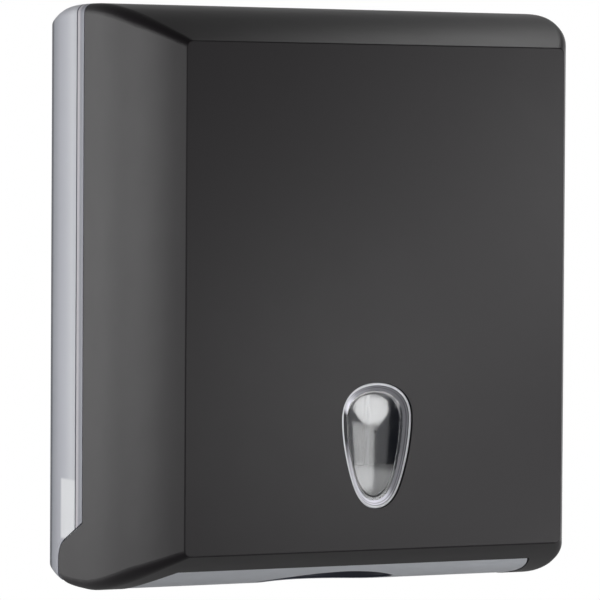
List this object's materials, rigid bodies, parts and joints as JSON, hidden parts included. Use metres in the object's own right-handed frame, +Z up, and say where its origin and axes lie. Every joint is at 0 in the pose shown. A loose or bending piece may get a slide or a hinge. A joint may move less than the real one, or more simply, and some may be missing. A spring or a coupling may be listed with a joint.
{
  "type": "folded paper towel dispenser",
  "caption": "Wall mounted dispenser for folded paper towels: translucent back shell and tray with a mouth below, hinged black cover with a teardrop level window, cam lock on top.",
  "frame": {"origin": "on the wall plane, at the centre of the four wall screw holes, mid height of the dispenser", "axes": "+X to the right as seen from the front, +Y into the wall, +Z up"},
  "size_m": [0.29, 0.135, 0.335],
  "materials": {
    "smoke_clear_plastic": "translucent, satin",
    "black_plastic": "satin soft black",
    "clear_plastic": "clear, polished",
    "dark_plastic": "satin",
    "acetal": "smooth",
    "steel": "bright",
    "screw_steel": "zinc plated",
    "lock_plastic": "smooth",
    "lock_barrel_plastic": "smooth"
  },
  "bodies": {
    "base": {"back_shell": "smoke_clear_plastic", "towel_tray": "smoke_clear_plastic", "tray_screw_1": "screw_steel", "tray_screw_2": "screw_steel", "tray_screw_3": "screw_steel", "tray_screw_4": "screw_steel", "hinge_pin_left": "steel", "hinge_pin_right": "steel", "lock_housing": "lock_plastic", "lock_nut": "lock_plastic"},
    "cover": {"front_cover": "black_plastic", "level_window": "clear_plastic", "window_retainer": "dark_plastic", "window_screw_1": "screw_steel", "window_screw_2": "screw_steel", "window_screw_3": "screw_steel", "window_screw_4": "screw_steel", "catch_bracket": "dark_plastic", "catch_screw_rear": "screw_steel", "catch_screw_front": "screw_steel", "hinge_bush_left": "acetal", "hinge_bush_right": "acetal"},
    "barrel": {"lock_barrel": "lock_barrel_plastic", "lock_cam": "steel", "cam_screw": "screw_steel"}
  },
  "joints": [
    {"name": "cover_hinge", "type": "hinge", "parent": "base", "child": "cover", "pos_m": [0, -0.0281, -0.154], "axis": [1, 0, 0], "range_deg": [0, 88]},
    {"name": "lock_turn", "type": "hinge", "parent": "base", "child": "barrel", "pos_m": [0, -0.027, 0.1517], "axis": [0, 0, 1], "range_deg": [0, 90]}
  ]
}
